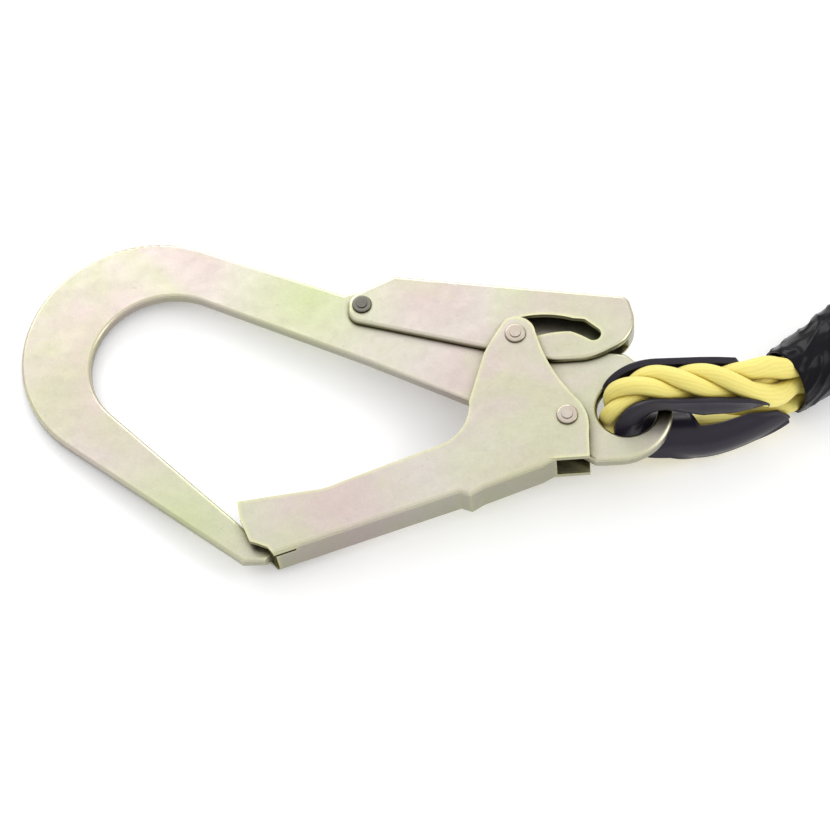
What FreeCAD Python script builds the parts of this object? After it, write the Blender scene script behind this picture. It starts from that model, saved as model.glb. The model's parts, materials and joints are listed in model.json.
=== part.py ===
import FreeCAD, Part
import math
import os

# Shock absorbing lanyard: scaffold hook, laid rope, energy absorber and screw-gate carabiner.
# Millimetres.  The hook is drawn flat in its own frame and then laid on the floor, eye raised.

# ---- driving dimensions -------------------------------------------------------------------
ROW_X = 32.5            # row origin, measured from the hook frame's own origin
ROW_Y = 112.0
HOOK_PITCH = 4.8        # degrees, eye end up, because the rope passes under the eye
HOOK_LIFT = 15.2        # height of the hook frame's origin above the floor

PLATE_T = 5.0           # pressed hook body
RIM_R = 1.3             # rounding of the body's rims
CROWN_R = 1.4           # bend at the latch's crown
SHEET_T = 2.0           # folded gate and latch
LATCH_IN = 3.0          # half the inside width of the latch
GATE_IN = 5.5           # half the inside width of the gate
EYE = (78.6, -2.1)      # rope eye in the body
EYE_R = 11.2
LOBE = (74.8, -3.0)     # rounded end of the body round the eye
LOBE_R = 20.6
BOWL = (-94.2, 25.9)    # seat that takes a scaffold tube
BOWL_R = 29.4
BACK = (-102.0, 31.1)   # outside of the bowl
BACK_R = 48.7
PIVOT = (56.6, -6.7)    # gate pivot
LATCH_PIVOT = (-19.8, 46.1)
LOCK_PIN = (38.3, 28.9)
RIVET_R = 3.2           # rivet shanks of the two pivots
PIN_R = 2.5
HEAD_R = 3.9
FIT = 0.05              # radial clearance of a shank in what turns on it
PRESS = 0.02            # radial gap drawn where a shank is riveted fast
SLOT_R = 2.9            # half the width of the latch's slot
GATE_OPEN = 36.0        # degrees
KIDNEY = (47.6, 1.8)    # arc of the slot's upper part
KIDNEY_R = 33.6
PRESSED_PIN = (39.6, 34.3)   # far end of the room the lock stud needs while the latch is pressed

ROPE_D = 14.0
ROPE_R = ROPE_D / 2.0
EYE_HEIGHT = 21.7       # rope loop's centre above the floor
LOOP_TURN = 2.5         # heading of the first loop, degrees from +X
LOOP_ROLL = 17.0        # lean of the loop's plane, top away from the hook's open side
SLEEVE_TURN = 35.0      # heading of the first sleeve
COIL_R = 71.5           # middle of the turns
COIL_BASE = 1.6
COIL_X = 256.0          # where the coil lies, measured like the row origin
LEAD_OUT = 52.0
CHAIN_Z = 15.6          # height of the absorber's middle
TIE_T = 1.2
TIE_ANGLES = (60.0, -30.0)   # where the second turn lies on the first

os.makedirs("parts", exist_ok=True)


def vec(x, y, z=0.0):
    return FreeCAD.Vector(x, y, z)


def polar(centre, radius, degrees):
    angle = math.radians(degrees)
    return (centre[0] + radius * math.cos(angle), centre[1] + radius * math.sin(angle))


def tangent_point(centre, radius, point, side):
    """Where a line from point touches the circle; side is +1 or -1."""
    dx, dy = point[0] - centre[0], point[1] - centre[1]
    turn = math.degrees(math.acos(radius / math.hypot(dx, dy)))
    return polar(centre, radius, math.degrees(math.atan2(dy, dx)) + side * turn)


def outline(start, *steps):
    """Closed face.  A step is a corner, or (through, end) for an arc."""
    edges = []
    here = start
    for step in steps + (start,):
        if isinstance(step[0], tuple):
            arc = Part.Arc(vec(*here), vec(*step[0]), vec(*step[1]))
            edges.append(arc.toShape())
            here = step[1]
        elif math.dist(here, step) > 1e-6:
            edges.append(Part.LineSegment(vec(*here), vec(*step)).toShape())
            here = step
    return Part.Face(Part.Wire(edges))


def rounded(*corners):
    """Closed face from (x, y, radius) corners, each rounded by a tangent arc."""
    edges = []
    marks = []
    count = len(corners)
    for k, (x, y, radius) in enumerate(corners):
        corner = vec(x, y)
        come = (vec(*corners[k - 1][:2]) - corner).normalize()
        go = (vec(*corners[(k + 1) % count][:2]) - corner).normalize()
        half = come.getAngle(go) / 2.0
        reach = radius / math.tan(half)
        through = corner + (come + go).normalize() * (radius / math.sin(half) - radius)
        marks.append((corner + come * reach, through, corner + go * reach))
    for k, (enter, through, leave) in enumerate(marks):
        edges.append(Part.Arc(enter, through, leave).toShape())
        edges.append(Part.LineSegment(leave, marks[(k + 1) % count][0]).toShape())
    return Part.Face(Part.Wire(edges))


def slab(face, low, high):
    lifted = face.copy()
    lifted.translate(vec(0, 0, low))
    return lifted.extrude(vec(0, 0, high - low))


def disc(centre, radius, low, high):
    return Part.makeCylinder(radius, high - low, vec(centre[0], centre[1], low))


def capsule(p, q, radius, low, high):
    heading = math.degrees(math.atan2(q[1] - p[1], q[0] - p[0]))
    left_p, right_p = polar(p, radius, heading + 90), polar(p, radius, heading - 90)
    left_q, right_q = polar(q, radius, heading + 90), polar(q, radius, heading - 90)
    face = outline(right_p, right_q, (polar(q, radius, heading), left_q),
                   left_p, (polar(p, radius, heading + 180), right_p))
    return slab(face, low, high)


def arc_slot(centre, radius, first, last, half, low, high):
    """Round-ended slot along an arc that runs clockwise between two angles."""
    middle = (first + last) / 2.0
    outer, inner = radius + half, radius - half
    cap_first = polar(polar(centre, radius, first), half, first + 90)
    cap_last = polar(polar(centre, radius, last), half, last - 90)
    face = outline(polar(centre, outer, first),
                   (polar(centre, outer, middle), polar(centre, outer, last)),
                   (cap_last, polar(centre, inner, last)),
                   (polar(centre, inner, middle), polar(centre, inner, first)),
                   (cap_first, polar(centre, outer, first)))
    return slab(face, low, high)


def merged(shapes):
    whole = shapes[0].multiFuse(shapes[1:]) if len(shapes) > 1 else shapes[0]
    return whole.removeSplitter()


def path_wire(points, radii):
    """Straight runs joined by tangent arcs, one radius for each inner corner."""
    edges = []
    here = points[0]
    for before, corner, after, radius in zip(points, points[1:], points[2:], radii):
        come = (before - corner).normalize()
        go = (after - corner).normalize()
        half = come.getAngle(go) / 2.0
        reach = radius / math.tan(half)
        middle = (come + go).normalize()
        enter, leave = corner + come * reach, corner + go * reach
        through = corner + middle * (radius / math.sin(half) - radius)
        if (enter - here).Length > 1e-6:
            edges.append(Part.LineSegment(here, enter).toShape())
        edges.append(Part.Arc(enter, through, leave).toShape())
        here = leave
    edges.append(Part.LineSegment(here, points[-1]).toShape())
    return Part.Wire(edges)


def swept(wire, profile):
    pipe = Part.BRepOffsetAPI.MakePipeShell(wire)
    pipe.setTransitionMode(0)
    pipe.add(profile)
    pipe.build()
    pipe.makeSolid()
    return pipe.shape()


def round_rod(wire, radius):
    start = wire.Edges[0]
    place = start.valueAt(start.FirstParameter)
    heading = start.tangentAt(start.FirstParameter)
    circle = Part.Wire([Part.makeCircle(radius, place, heading)])
    return swept(wire, circle)


def coil_spring(radius, wire_r, pitch, height, foot, axis):
    """Wire coil standing on foot, its length along axis."""
    helix = Part.makeHelix(pitch, height, radius)
    profile = Part.Wire([Part.makeCircle(wire_r, vec(radius, 0, 0), vec(0, 1, 0))])
    spring = Part.Wire(helix).makePipeShell([profile], True, True)
    spring.Placement = FreeCAD.Placement(foot, FreeCAD.Rotation(vec(0, 0, 1), axis))
    return spring


def rivet_head(centre, radius, level, height):
    """Low domed head with a raised middle, standing on level."""
    head = disc(centre, radius, 0, height)
    top = [e for e in head.Edges if abs(e.CenterOfMass.z - height) < 1e-6]
    head = head.makeFillet(height * 0.6, top)
    head = head.fuse(disc(centre, radius * 0.52, height, height + 0.35))
    head.translate(vec(0, 0, level))
    return head


def rivet(centre, shank_r, head_r, reach, head_h):
    """Shank through everything with a head on each side."""
    top = rivet_head(centre, head_r, reach, head_h)
    bottom = top.mirror(vec(0, 0, 0), vec(0, 0, 1))
    return merged([disc(centre, shank_r, -reach, reach), top, bottom])


def save(name, shape):
    shape.exportStep("parts/" + name + ".step")
    box = shape.optimalBoundingBox()
    size = "%.1f %.1f %.1f" % (box.XLength, box.YLength, box.ZLength)
    print("%-26s valid %s solids %d size %s z %.2f volume %.1f" % (
        name, shape.isValid(), len(shape.Solids), size, box.ZMin, shape.Volume))


def lay_hook(shape):
    """From the hook's flat frame to the row."""
    laid = shape.copy()
    laid.rotate(vec(0, 0, 0), vec(0, 1, 0), -HOOK_PITCH)
    laid.translate(vec(-ROW_X, -ROW_Y, HOOK_LIFT))
    return laid


def to_row(shape):
    moved = shape.copy()
    moved.translate(vec(-ROW_X, -ROW_Y, 0))
    return moved


# ---- hook body ------------------------------------------------------------------------------
half_t = PLATE_T / 2.0
shoulder = (-27.0, 52.6)
spine_touch = tangent_point(BACK, BACK_R, shoulder, 1)
limb_end = (-62.6, -58.9)
limb_touch = tangent_point(BACK, BACK_R, limb_end, -1)
heel = (-58.4, -49.0)
bowl_low = tangent_point(BOWL, BOWL_R, heel, -1)
bowl_high = tangent_point(BOWL, BOWL_R, (-18.0, 22.8), 1)
lug_low = polar(PIVOT, 9.6, 255)
lug_left = polar(PIVOT, 9.6, 170)
body = outline(
    spine_touch, shoulder,
    (polar(LATCH_PIVOT, 7.6, 95), polar(LATCH_PIVOT, 7.6, 50)),
    (26.0, 29.4), (36.0, 24.6), (66.0, 24.4), (79.5, 21.0),
    polar(LOBE, LOBE_R, 58),
    (polar(LOBE, LOBE_R, -20), polar(LOBE, LOBE_R, -90)),
    (66.5, LOBE[1] - LOBE_R), (61.0, -20.0), lug_low,
    (polar(PIVOT, 9.6, 212), lug_left),
    (38.0, -5.4), (-18.0, 22.8), bowl_high,
    (polar(BOWL, BOWL_R, 170), bowl_low),
    heel, (-52.8, -50.6), (-51.8, -56.2), (-54.4, -58.9), limb_end, limb_touch,
    (polar(BACK, BACK_R, 175), spine_touch))
hook_plate = slab(body, -half_t, half_t)
holes = [disc(EYE, EYE_R, -half_t, half_t), disc(PIVOT, RIVET_R + PRESS, -half_t, half_t),
         disc(LATCH_PIVOT, RIVET_R + PRESS, -half_t, half_t)]
for hole in holes:
    hook_plate = hook_plate.cut(hole)
rims = [e for e in hook_plate.Edges if abs(abs(e.CenterOfMass.z) - half_t) < 1e-6
        and e.Length > 6.0]
hook_plate = hook_plate.makeFillet(RIM_R, rims)

# ---- gate: channel with its web on the outer side ----------------------------------------------
gate_out = GATE_IN + SHEET_T
gate_wall = outline(
    (-64.4, -37.2), (-38.0, -33.8), ((-32.5, -33.0), (-27.0, -30.9)), (8.0, -17.7),
    ((17.4, -11.0), (20.6, 0.5)), (26.4, 21.0),
    (polar(LOCK_PIN, 7.4, 175), polar(LOCK_PIN, 7.4, 120)),
    (polar(LOCK_PIN, 7.4, 70), polar(LOCK_PIN, 7.4, 5)),
    (47.6, 23.0), ((52.8, 11.0), (59.6, 1.0)), ((63.6, -6.0), (64.2, -14.0)), (64.2, -24.0),
    (52.1, -24.4), (46.9, -27.3), (25.2, -35.4), (20.6, -38.2), (16.6, -36.6),
    (-27.5, -51.2), (-50.4, -58.8), (-52.8, -55.9), (-56.5, -54.3), (-59.2, -53.4), (-63.1, -44.5))
gate_inside = outline(
    (-80.0, 60.0), (-80.0, -80.0), (-51.0, -80.0), (-49.6, -56.2), (16.0, -34.4),
    (20.4, -36.1), (25.9, -33.0), (46.0, -25.3), (52.1, -21.8), (52.1, -60.0),
    (90.0, -60.0), (90.0, 60.0))
gate_shell = slab(gate_wall, -gate_out, gate_out).cut(slab(gate_inside, -GATE_IN, GATE_IN))
gate_shell = gate_shell.cut(disc(PIVOT, RIVET_R + FIT, -gate_out, gate_out))
gate_shell = gate_shell.cut(disc(LOCK_PIN, PIN_R + PRESS, 0, gate_out))
bend = [e for e in gate_shell.Edges
        if abs(abs(e.CenterOfMass.z) - gate_out) < 1e-6 and -44 < e.CenterOfMass.x < 52
        and e.CenterOfMass.y < -0.33 * (20.0 - e.CenterOfMass.x) - 30.0 and e.Length > 4.0]
gate_shell = gate_shell.makeFillet(1.6, bend)
relief = Part.makeBox(12.0, 12.0, 1.1, vec(-54.5, -62.0, 4.5))
gate_shell = gate_shell.cut(relief)

# ---- latch lever: channel with its web on the outer side and round the free end ------------------
latch_out = LATCH_IN + SHEET_T
latch_wall = rounded(
    (-25.3, 39.9, 5.5), (50.5, 18.3, 30.0), (67.0, 18.7, 25.0), (79.0, 25.0, 12.0),
    (83.8, 33.0, 13.0), (81.0, 44.9, 4.0), (-7.6, 58.6, 2.5), (-25.3, 50.1, 6.0))
latch_inside = outline(
    (-60.0, 80.0), (-60.0, 0.0), (120.0, 0.0), (120.0, 27.4), (78.1, 27.4), (81.4, 33.2),
    (79.4, 42.9), (-6.0, 56.2), (-6.0, 80.0))
latch_lever = slab(latch_wall, -latch_out, latch_out)
latch_lever = latch_lever.cut(slab(latch_inside, -LATCH_IN, LATCH_IN))
open_pin = math.degrees(math.atan2(LOCK_PIN[1] - PIVOT[1], LOCK_PIN[0] - PIVOT[0]))
pin_travel = math.dist(LOCK_PIN, PIVOT)
track = arc_slot(PIVOT, pin_travel, open_pin, open_pin - GATE_OPEN - 0.5, SLOT_R,
                 LATCH_IN, latch_out)
kidney = arc_slot(KIDNEY, KIDNEY_R, 104.9, 53.9, SLOT_R, LATCH_IN, latch_out)
press_room = capsule(LOCK_PIN, PRESSED_PIN, SLOT_R, LATCH_IN, latch_out)
open_end = capsule(polar(PIVOT, pin_travel, open_pin - GATE_OPEN - 0.5),
                   polar(KIDNEY, KIDNEY_R, 53.9), SLOT_R, LATCH_IN, latch_out)
latch_lever = latch_lever.cut(merged([track, kidney, press_room, open_end]))
latch_lever = latch_lever.cut(disc(LATCH_PIVOT, RIVET_R + FIT, -latch_out, latch_out))
crown = [e for e in latch_lever.Edges
         if abs(abs(e.CenterOfMass.z) - latch_out) < 1e-6
         and (e.CenterOfMass.y > 45.0 + 0.1546 * (60.0 - e.CenterOfMass.x) or
              (e.CenterOfMass.x > 79.0 and e.CenterOfMass.y > 29.0))
         and e.CenterOfMass.x > -7.5]
latch_lever = latch_lever.makeFillet(CROWN_R, crown)

# ---- pins, washers and springs of the hook ---------------------------------------------------------
gate_rivet = rivet(PIVOT, RIVET_R, HEAD_R, gate_out + 0.1, 1.0)
lock_pin = merged([disc(LOCK_PIN, PIN_R, 0.4 - LATCH_IN, gate_out),
                   rivet_head(LOCK_PIN, HEAD_R, gate_out, 1.0)])
latch_rivet = rivet(LATCH_PIVOT, RIVET_R, 3.7, latch_out + 0.1, 0.9)
washers = []
for side in (1, -1):
    low, high = sorted((side * (half_t + 0.1), side * (GATE_IN - 0.1)))
    ring = disc(PIVOT, 6.2, low, high).cut(disc(PIVOT, RIVET_R + FIT, low, high))
    washers.append(ring)
spacers = Part.makeCompound(washers)

spring_foot = vec(1.3, 44.1)
spring_axis = vec(0.3, 0.954).normalize()
latch_spring = coil_spring(1.9, 0.45, 2.2, 8.8, spring_foot, spring_axis)

torsion = []
for side in (1, -1):
    ring_z = side * (half_t + 1.5)
    leg = Part.makeCylinder(0.5, 26.0, vec(PIVOT[0] - 6.9, PIVOT[1] - 2.7, ring_z),
                            vec(-1.0, -0.42, 0.0))
    hoop = Part.makeTorus(7.4, 0.5, vec(PIVOT[0], PIVOT[1], ring_z))
    torsion.append(merged([hoop, leg]))
gate_spring = Part.makeCompound(torsion)

hook_parts = {
    "hook_plate": hook_plate, "gate_shell": gate_shell, "latch_lever": latch_lever,
    "gate_pivot_rivet": gate_rivet, "gate_lock_pin": lock_pin, "latch_rivet": latch_rivet,
    "gate_pivot_spacers": spacers, "latch_spring": latch_spring, "gate_spring": gate_spring}
for name, shape in hook_parts.items():
    save(name, lay_hook(shape))


# ---- local frames for the rope side ------------------------------------------------------------------
def frame(origin, along, up):
    """Placement whose x runs along and whose y runs up (z completes it)."""
    x = FreeCAD.Vector(along).normalize()
    z = x.cross(up).normalize()
    y = z.cross(x)
    turn = FreeCAD.Matrix(x.x, y.x, z.x, origin.x, x.y, y.y, z.y, origin.y,
                          x.z, y.z, z.z, origin.z)
    return FreeCAD.Placement(turn)


def heading(degrees):
    return vec(math.cos(math.radians(degrees)), math.sin(math.radians(degrees)))


def trough_profile(inner_r, outer_r, spread, place, along, inward):
    """Arc-shaped cross-section on the inward side of the rope, spread degrees each way."""
    side = along.cross(inward).normalize()

    def at(radius, degrees):
        angle = math.radians(degrees)
        return place + inward * (radius * math.cos(angle)) + side * (radius * math.sin(angle))

    outer = Part.Arc(at(outer_r, -spread), at(outer_r, 0), at(outer_r, spread)).toShape()
    inner = Part.Arc(at(inner_r, -spread), at(inner_r, 0), at(inner_r, spread)).toShape()
    ends = [Part.LineSegment(at(outer_r, k), at(inner_r, k)).toShape() for k in (-spread, spread)]
    return Part.Wire(Part.__sortEdges__([outer, ends[0], inner, ends[1]]))


def thimble_along(points, radii, inward):
    wire = path_wire(points, radii)
    first = wire.Edges[0]
    place = first.valueAt(first.FirstParameter)
    along = first.tangentAt(first.FirstParameter)
    inward = (inward - along * inward.dot(along)).normalize()
    return swept(wire, trough_profile(ROPE_R + 0.3, ROPE_R + 2.0, 96.0, place, along, inward))


def oval(x, half_y, half_z):
    """Upright ellipse at x, long axis on local y."""
    ellipse = Part.Ellipse(vec(x, half_y, 0), vec(x, 0, half_z), vec(x, 0, 0))
    return Part.Wire([ellipse.toShape()])


def sleeve_loft(stations, shrink, first, last):
    """Loft through the stations that lie from first to last, every half axis less shrink."""
    wires = [oval(min(max(x, first), last), a - shrink, b - shrink) for x, a, b in stations]
    return Part.makeLoft(wires, True, True)


# ---- first rope eye, its thimble and the shrink sleeve ------------------------------------------------
# the loop's x runs away from the body's eye and its y up the leaning plane
hook_turn = math.radians(HOOK_PITCH)
eye_centre = vec(EYE[0] * math.cos(hook_turn), EYE[1], EYE_HEIGHT)
roll = math.radians(LOOP_ROLL)
lean_up = vec(0, 0, math.cos(roll)) + heading(LOOP_TURN + 90.0) * math.sin(roll)
eye_place = frame(eye_centre, heading(LOOP_TURN), lean_up)
SLEEVE_LEN = 90.0
SLEEVE = [(0.0, 15.8, 12.4), (20.0, 14.9, 14.4), (24.0, 15.6, 15.2), (50.0, 15.2, 14.9),
          (90.0, 9.6, 9.4)]
mouth = eye_centre + vec(60.0, 15.6, -5.3)
sleeve_place = frame(mouth, heading(SLEEVE_TURN), vec(0, 0, 1))
LEG_HALF = 7.05         # legs side by side in the mouth
LOOP_R = 14.0
LOOP_LEFT = -3.5
loop_top = LOOP_R + 0.8
loop_low = loop_top - 2.0 * LOOP_R
loop_points = [vec(31.0, loop_top), vec(LOOP_LEFT, loop_top), vec(LOOP_LEFT, loop_low),
               vec(34.0, loop_low)]
eye_points = [sleeve_place.multVec(vec(1.0, LEG_HALF)), sleeve_place.multVec(vec(-7.0, LEG_HALF))]
eye_points += [eye_place.multVec(point) for point in loop_points]
eye_points += [sleeve_place.multVec(vec(1.0, -LEG_HALF))]
rope_eye = round_rod(path_wire(eye_points, [20.0, 26.0, LOOP_R, LOOP_R, 26.0]), ROPE_R)
thimble_top = eye_points[2] + (eye_points[1] - eye_points[2]) * 0.6
thimble_low = eye_points[5] + (eye_points[6] - eye_points[5]) * 0.55
thimble = thimble_along([thimble_top] + eye_points[2:6] + [thimble_low],
                        [26.0, LOOP_R, LOOP_R, 26.0], lean_up * -1.0)
shrink_sleeve = sleeve_loft(SLEEVE, 0.0, 0.0, SLEEVE_LEN)
shrink_sleeve = shrink_sleeve.cut(sleeve_loft(SLEEVE, 1.4, 0.0, SLEEVE_LEN))
splice = sleeve_loft(SLEEVE[1:], 1.8, 0.0, SLEEVE_LEN - 0.5)
for shape in (shrink_sleeve, splice):
    shape.Placement = sleeve_place.multiply(shape.Placement)

for name, shape in (("rope_eye", rope_eye), ("eye_thimble", thimble),
                    ("shrink_sleeve", shrink_sleeve), ("splice_core", splice)):
    save(name, to_row(shape))

# ---- free rope: lead in, coil, lead out -----------------------------------------------------------------
run = heading(SLEEVE_TURN)
left = heading(SLEEVE_TURN + 90.0)
rope_start = mouth + run * (SLEEVE_LEN + 0.2)
touch_x = COIL_X - COIL_R * left.x
lead_in_len = (touch_x - rope_start.x) / run.x
touch = rope_start + run * lead_in_len
touch.z = COIL_BASE + ROPE_R
coil_centre = vec(COIL_X, touch.y + COIL_R * left.y)
chain_y = coil_centre.y + COIL_R
leave = vec(COIL_X, chain_y, COIL_BASE + 3.0 * ROPE_R)
far_end = vec(COIL_X - LEAD_OUT, chain_y, CHAIN_Z)


def straight_rope(p, q, radius):
    return Part.makeCylinder(radius, (q - p).Length, p, q - p)


lead_in = straight_rope(rope_start, touch, ROPE_R)
lead_out = straight_rope(leave, far_end, ROPE_R)
low_z, high_z = COIL_BASE + ROPE_R, COIL_BASE + 3.0 * ROPE_R
inner_x, outer_x = COIL_R - ROPE_R, COIL_R + ROPE_R
section = outline((outer_x, low_z), (outer_x, high_z),
                  ((COIL_R, high_z + ROPE_R), (inner_x, high_z)), (inner_x, low_z),
                  ((COIL_R, low_z - ROPE_R), (outer_x, low_z)))
section.rotate(vec(0, 0, 0), vec(1, 0, 0), 90)
coil = section.revolve(vec(0, 0, 0), vec(0, 0, 1), 360)
coil.translate(coil_centre)
coil = Part.Solid(coil.Shells[0]) if coil.ShapeType != "Solid" else coil
coil = coil.cut(straight_rope(rope_start, touch + run * 0.3, ROPE_R + 0.3))
coil = coil.cut(straight_rope(leave + vec(0.3, 0, 0), far_end, ROPE_R + 0.3))

ties = []
for angle in TIE_ANGLES:
    band = Part.makeBox(2 * ROPE_R + 2 * (0.5 + TIE_T), 12.0, 4 * ROPE_R + 2 * (0.3 + TIE_T))
    hole = Part.makeBox(2 * ROPE_R + 1.0, 12.0, 4 * ROPE_R + 0.6)
    hole.translate(vec(TIE_T, 0, TIE_T))
    band = band.cut(hole)
    band.translate(vec(COIL_R - ROPE_R - 0.5 - TIE_T, -6.0, COIL_BASE - 0.3 - TIE_T))
    band.rotate(vec(0, 0, 0), vec(0, 0, 1), angle)
    band.translate(coil_centre)
    ties.append(band)

# ---- far splice, eye and thimble, lying flat ---------------------------------------------------------------
FAR_SLEEVE_LEN = 53.0
FAR_SLEEVE = [(0.0, 15.4, 12.4), (14.0, 14.6, 14.0), (36.0, 14.4, 14.0), (53.0, 9.6, 9.4)]
FAR_R = 22.0
FAR_REACH = 56.0
far_mouth = far_end - vec(FAR_SLEEVE_LEN + 0.2, 0, 0)
far_sleeve_place = frame(far_mouth, vec(1, 0, 0), vec(0, 1, 0))
far_place = frame(far_mouth, vec(-1, 0, 0), vec(0, 1, 0))
far_sleeve = sleeve_loft(FAR_SLEEVE, 0.0, 0.0, FAR_SLEEVE_LEN)
far_sleeve = far_sleeve.cut(sleeve_loft(FAR_SLEEVE, 1.2, 0.0, FAR_SLEEVE_LEN))
far_splice = sleeve_loft(FAR_SLEEVE[1:], 1.6, 0.0, FAR_SLEEVE_LEN - 1.2)
far_half = [vec(-1.0, LEG_HALF), vec(5.6, LEG_HALF), vec(27.0, FAR_R), vec(FAR_REACH, FAR_R)]
far_points = far_half + [vec(p.x, -p.y) for p in reversed(far_half)]
far_radii = [20.0, 20.0, FAR_R, FAR_R, 20.0, 20.0]
far_eye = round_rod(path_wire(far_points, far_radii), ROPE_R)
far_start = far_points[2] + (far_points[1] - far_points[2]) * 0.6
far_stop = vec(far_start.x, -far_start.y)
far_lean = (far_points[2] - far_start).normalize()
far_thimble = thimble_along([far_start] + far_points[2:6] + [far_stop], far_radii[1:5],
                            vec(far_lean.y, -far_lean.x))

# ---- energy absorber: local x runs on from the far eye, local y across, local z thickness -----------
PACK_START = 80.0
PACK_L = 105.0
PACK_W = 44.0
PACK_T = 30.0
COVER_T = 1.2
STRAP_T = 2.4
STRAP_W = 19.0
EYE_TURN = 52.2         # where the strap turns inside the rope's eye
EYE_TURN_R = 9.6
ROD_R = 5.0
ROD_TURN_R = 5.6
TUCK = 8.0              # strap inside the cover
pack_end = PACK_START + PACK_L
rod_x = pack_end + 18.0


def strap(turn_x, inner_r, end_x):
    """Folded strap: round the turn, both layers running on to end_x."""
    side = 1 if end_x > turn_x else -1
    outer_r = inner_r + STRAP_T
    face = outline((end_x, outer_r), (turn_x, outer_r),
                   ((turn_x - side * outer_r, 0.0), (turn_x, -outer_r)), (end_x, -outer_r),
                   (end_x, -inner_r), (turn_x, -inner_r),
                   ((turn_x - side * inner_r, 0.0), (turn_x, inner_r)), (end_x, inner_r))
    solid = slab(face, -STRAP_W / 2.0, STRAP_W / 2.0)
    solid.rotate(vec(0, 0, 0), vec(1, 0, 0), 90)
    return solid


def block(x0, x1, width, thickness, centre_z=0.0):
    return Part.makeBox(x1 - x0, width, thickness,
                        vec(x0, -width / 2.0, centre_z - thickness / 2.0))


eye_strap = strap(EYE_TURN, EYE_TURN_R, PACK_START + TUCK)
rod_strap = strap(rod_x, ROD_TURN_R, pack_end - TUCK)
cover = block(PACK_START, pack_end, PACK_W, PACK_T)
long_edges = [e for e in cover.Edges if e.Length > PACK_L - 1.0]
cover = cover.makeFillet(6.0, long_edges)
ends = [e for e in cover.Edges if abs(e.CenterOfMass.x - PACK_START) < 1e-6
        or abs(e.CenterOfMass.x - pack_end) < 1e-6]
cover = cover.makeFillet(2.5, ends)
hollow = block(PACK_START + COVER_T, pack_end - COVER_T, PACK_W - 2 * COVER_T,
               PACK_T - 2 * COVER_T)
hollow = hollow.makeFillet(4.6, [e for e in hollow.Edges if e.Length > PACK_L - 5.0])
cover = cover.cut(hollow)
for side in (1, -1):
    for inner_r, x0 in ((EYE_TURN_R, PACK_START - 2.0), (ROD_TURN_R, pack_end - 4.0)):
        middle = side * (inner_r + STRAP_T / 2.0)
        cover = cover.cut(block(x0, x0 + 6.0, STRAP_W + 0.4, STRAP_T + 0.4, middle))

FOLDS = 7
fold_x0, fold_x1 = PACK_START + 12.0, pack_end - 12.0
fold_gap = 0.4
fold_t = (PACK_T - 2 * COVER_T - 3.0 - (FOLDS - 1) * fold_gap) / FOLDS
layers = []
for k in range(FOLDS):
    z = -(FOLDS - 1) * (fold_t + fold_gap) / 2.0 + k * (fold_t + fold_gap)
    layers.append(block(fold_x0, fold_x1, 34.0, fold_t, z))
    if k < FOLDS - 1:
        x = fold_x1 - 2.0 if k % 2 == 0 else fold_x0
        layers.append(block(x, x + 2.0, 34.0, fold_gap * 3.0, z + (fold_t + fold_gap) / 2.0))
tear_web = merged(layers)

LABEL_L, LABEL_W, LABEL_T = 62.0, 26.0, 0.5
label_x = PACK_START + (PACK_L - LABEL_L) / 2.0
label = block(label_x, label_x + LABEL_L, LABEL_W, LABEL_T, PACK_T / 2.0 + 0.05 + LABEL_T / 2.0)
label = label.makeFillet(3.0, [e for e in label.Edges if abs(e.Length - LABEL_T) < 1e-6])

tacks = []
for side in (1, -1):
    for x, inner_r in ((PACK_START - 9.0, EYE_TURN_R), (pack_end + 3.0, ROD_TURN_R)):
        level = side * (inner_r + STRAP_T + 0.3)
        for step in (0.0, 3.4):
            tacks.append(block(x + step, x + step + 2.2, STRAP_W - 4.0, 0.5, level))

# ---- carabiner: local x from the strap, local y across its bow; its far end lies on the floor --------
BOW_DROP = 5.9          # degrees
NOSE = vec(24.0, 26.5)
HINGE = vec(74.0, 31.0)
GATE_R = 5.2
TONGUE = 2.4            # half the thickness of the body's hinge tongue
COLLAR_R = 8.0
COLLAR_L = 24.0
COLLAR_AT = 13.0        # from the hinge, unscrewed
BOW = [NOSE, vec(0.0, 21.0), vec(0.0, -25.0), vec(95.0, -25.0), vec(95.0, 33.0),
       vec(81.0, 31.6)]
gate_dir = (NOSE - HINGE).normalize()
gate_len = (NOSE - HINGE).Length
bow = round_rod(path_wire(BOW, [9.0, 12.0, 15.0, 12.0]), ROD_R)
pin_at = (HINGE.x, HINGE.y)
tongue = capsule(pin_at, (81.5, 31.7), 4.5, -TONGUE, TONGUE)
nose_tip = NOSE - gate_dir * 4.0
tooth = capsule((nose_tip.x, nose_tip.y), (NOSE.x - 1.0, NOSE.y), 3.6, -1.9, 1.9)
bow = merged([bow, tongue, tooth])
bow = bow.cut(disc(pin_at, 2.05, -8.0, 8.0))

gate_rod = Part.makeCylinder(GATE_R, gate_len - 0.8, HINGE, gate_dir)
gate_rod = gate_rod.fuse(Part.makeSphere(GATE_R, HINGE))
gate_turn = math.degrees(math.atan2(gate_dir.y, gate_dir.x))


def along_gate(shape):
    shape.rotate(vec(0, 0, 0), vec(0, 0, 1), gate_turn)
    shape.translate(HINGE)
    return shape


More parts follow.
